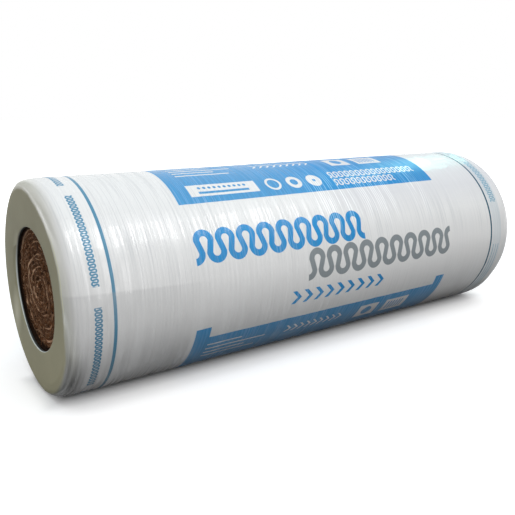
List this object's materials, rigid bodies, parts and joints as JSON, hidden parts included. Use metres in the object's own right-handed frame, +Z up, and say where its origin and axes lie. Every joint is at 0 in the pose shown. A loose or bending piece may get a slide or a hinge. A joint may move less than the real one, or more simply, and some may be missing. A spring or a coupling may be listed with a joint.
{
  "type": "insulation roll",
  "caption": "Glass wool insulation blanket wound into a tight roll, in a sleeve of printed plastic film that leaves a round hole at each end where the turns show.",
  "frame": {"origin": "on the floor under the middle of the roll, which lies on its side", "axes": "+X along the roll's axis, from the tightly packed near end to the rounder far end; +Z up; the printed front faces -Y"},
  "size_m": [1.152, 0.3876, 0.3875],
  "materials": {
    "film": "thin white translucent film stretched over the roll, printed in blue and grey, glossy with fine ridges round the roll",
    "wool": "brown glass wool, matt and fibrous, with lighter lines between the turns"
  },
  "bodies": {
    "root": {"wool_roll": "wool", "film_wrap": "film"}
  },
  "joints": []
}
